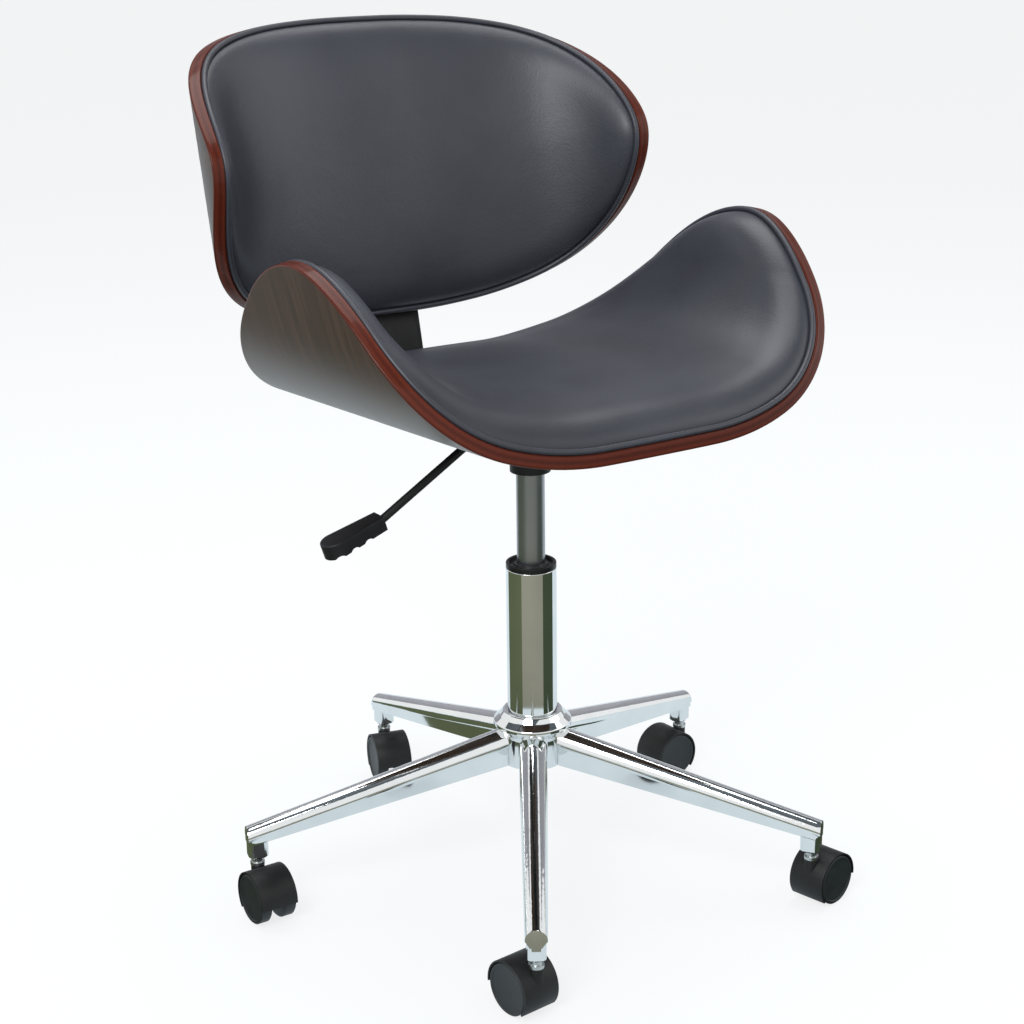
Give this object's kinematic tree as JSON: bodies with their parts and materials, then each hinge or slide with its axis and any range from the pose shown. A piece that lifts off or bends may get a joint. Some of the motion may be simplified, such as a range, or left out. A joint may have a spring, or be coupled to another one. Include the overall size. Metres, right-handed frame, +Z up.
{
  "type": "bentwood desk chair",
  "caption": "Swivel desk chair with bent plywood seat and back shells, black padded upholstery, gas lift with lever, and a chrome star base on twin-wheel casters.",
  "frame": {"origin": "on the floor under the column's axis", "axes": "+Z up along the column, -Y the way the sitter faces, +X to the sitter's left"},
  "size_m": [0.5768, 0.5878, 0.8395],
  "materials": {
    "chrome": "mirror chrome plate",
    "nylon": "moulded matt nylon",
    "wheel_nylon": "moulded nylon",
    "bush_plastic": "moulded acetal",
    "zinc_steel": "bright zinc plate",
    "bumper_rubber": "rubber",
    "satin_steel": "satin grey",
    "black_steel": "black powder coat",
    "grip_plastic": "moulded plastic",
    "walnut_board": "stained and lacquered bent plywood",
    "black_leather": "black faux leather over foam"
  },
  "bodies": {
    "base": {"base_hub": "chrome", "base_arm_1": "chrome", "base_arm_2": "chrome", "base_arm_3": "chrome", "base_arm_4": "chrome", "base_arm_5": "chrome", "caster_sockets": "bush_plastic", "caster_stems": "zinc_steel", "outer_column": "chrome", "column_bush": "bush_plastic", "thrust_bearing": "zinc_steel"},
    "piston": {"piston_rod": "zinc_steel", "rod_bumper": "bumper_rubber", "retaining_clip": "zinc_steel"},
    "seat": {"gas_cylinder": "satin_steel", "taper_socket": "black_steel", "mechanism_plate": "black_steel", "lever_pivot": "zinc_steel", "plate_bolts": "black_steel", "seat_tee_nuts": "zinc_steel", "seat_shell": "walnut_board", "seat_pad": "black_leather", "back_bracket": "black_steel", "bracket_seat_bolts": "black_steel", "bracket_back_bolts": "black_steel", "back_tee_nuts": "zinc_steel", "back_shell": "walnut_board", "back_pad": "black_leather"},
    "lever": {"lever_rod": "black_steel", "lever_grip": "grip_plastic"},
    "release_pin": {"release_pin": "zinc_steel"},
    "caster_1": {"caster_hood_1": "nylon", "caster_axle_1": "zinc_steel"},
    "wheel_1r": {"caster_wheel_1r": "wheel_nylon"},
    "wheel_1l": {"caster_wheel_1l": "wheel_nylon"},
    "caster_2": {"caster_hood_2": "nylon", "caster_axle_2": "zinc_steel"},
    "wheel_2r": {"caster_wheel_2r": "wheel_nylon"},
    "wheel_2l": {"caster_wheel_2l": "wheel_nylon"},
    "caster_3": {"caster_hood_3": "nylon", "caster_axle_3": "zinc_steel"},
    "wheel_3r": {"caster_wheel_3r": "wheel_nylon"},
    "wheel_3l": {"caster_wheel_3l": "wheel_nylon"},
    "caster_4": {"caster_hood_4": "nylon", "caster_axle_4": "zinc_steel"},
    "wheel_4r": {"caster_wheel_4r": "wheel_nylon"},
    "wheel_4l": {"caster_wheel_4l": "wheel_nylon"},
    "caster_5": {"caster_hood_5": "nylon", "caster_axle_5": "zinc_steel"},
    "wheel_5r": {"caster_wheel_5r": "wheel_nylon"},
    "wheel_5l": {"caster_wheel_5l": "wheel_nylon"}
  },
  "joints": [
    {"name": "seat_swivel", "type": "hinge", "parent": "base", "child": "piston", "pos_m": [0, 0, 0.128], "axis": [0, 0, 1], "continuous": true},
    {"name": "seat_height", "type": "slide", "parent": "piston", "child": "seat", "axis": [0, 0, 1], "range_m": [-0.085, 0]},
    {"name": "lever_tilt", "type": "hinge", "parent": "seat", "child": "lever", "pos_m": [-0.03, 0, 0.46925], "axis": [0, 1, 0], "range_deg": [0, 6], "stiffness_Nm_per_rad": 1.2, "springref_deg": -20.05},
    {"name": "pin_press", "type": "slide", "parent": "seat", "child": "release_pin", "axis": [0, 0, -1], "range_m": [0, 0.0035]},
    {"name": "caster_1_swivel", "type": "hinge", "parent": "base", "child": "caster_1", "pos_m": [-0.15757, -0.23988, 0.05], "axis": [0, 0, 1], "continuous": true},
    {"name": "wheel_1r_spin", "type": "hinge", "parent": "caster_1", "child": "wheel_1r", "pos_m": [-0.15943, -0.22057, 0.025], "axis": [0.9954, 0.0958, 0], "continuous": true},
    {"name": "wheel_1l_spin", "type": "hinge", "parent": "caster_1", "child": "wheel_1l", "pos_m": [-0.15943, -0.22057, 0.025], "axis": [0.9954, 0.0958, 0], "continuous": true},
    {"name": "caster_2_swivel", "type": "hinge", "parent": "base", "child": "caster_2", "pos_m": [0.17944, -0.22398, 0.05], "axis": [0, 0, 1], "continuous": true},
    {"name": "wheel_2r_spin", "type": "hinge", "parent": "caster_2", "child": "wheel_2r", "pos_m": [0.19834, -0.21959, 0.025], "axis": [0.2267, -0.974, 0], "continuous": true},
    {"name": "wheel_2l_spin", "type": "hinge", "parent": "caster_2", "child": "wheel_2l", "pos_m": [0.19834, -0.21959, 0.025], "axis": [0.2267, -0.974, 0], "continuous": true},
    {"name": "caster_3_swivel", "type": "hinge", "parent": "base", "child": "caster_3", "pos_m": [0.26847, 0.10145, 0.05], "axis": [0, 0, 1], "continuous": true},
    {"name": "wheel_3r_spin", "type": "hinge", "parent": "caster_3", "child": "wheel_3r", "pos_m": [0.24912, 0.10006, 0.025], "axis": [-0.0715, 0.9974, 0], "continuous": true},
    {"name": "wheel_3l_spin", "type": "hinge", "parent": "caster_3", "child": "wheel_3l", "pos_m": [0.24912, 0.10006, 0.025], "axis": [-0.0715, 0.9974, 0], "continuous": true},
    {"name": "caster_4_swivel", "type": "hinge", "parent": "base", "child": "caster_4", "pos_m": [-0.01352, 0.28668, 0.05], "axis": [0, 0, 1], "continuous": true},
    {"name": "wheel_4r_spin", "type": "hinge", "parent": "caster_4", "child": "wheel_4r", "pos_m": [-0.01844, 0.26792, 0.025], "axis": [-0.9673, 0.2538, 0], "continuous": true},
    {"name": "wheel_4l_spin", "type": "hinge", "parent": "caster_4", "child": "wheel_4l", "pos_m": [-0.01844, 0.26792, 0.025], "axis": [-0.9673, 0.2538, 0], "continuous": true},
    {"name": "caster_5_swivel", "type": "hinge", "parent": "base", "child": "caster_5", "pos_m": [-0.27683, 0.07573, 0.05], "axis": [0, 0, 1], "continuous": true},
    {"name": "wheel_5r_spin", "type": "hinge", "parent": "caster_5", "child": "wheel_5r", "pos_m": [-0.27686, 0.05633, 0.025], "axis": [-1, 0.0017, 0], "continuous": true},
    {"name": "wheel_5l_spin", "type": "hinge", "parent": "caster_5", "child": "wheel_5l", "pos_m": [-0.27686, 0.05633, 0.025], "axis": [-1, 0.0017, 0], "continuous": true}
  ],
  "couplings": [
    {"joint": "pin_press", "follows": "lever_tilt", "m_per_rad": 0.033}
  ]
}
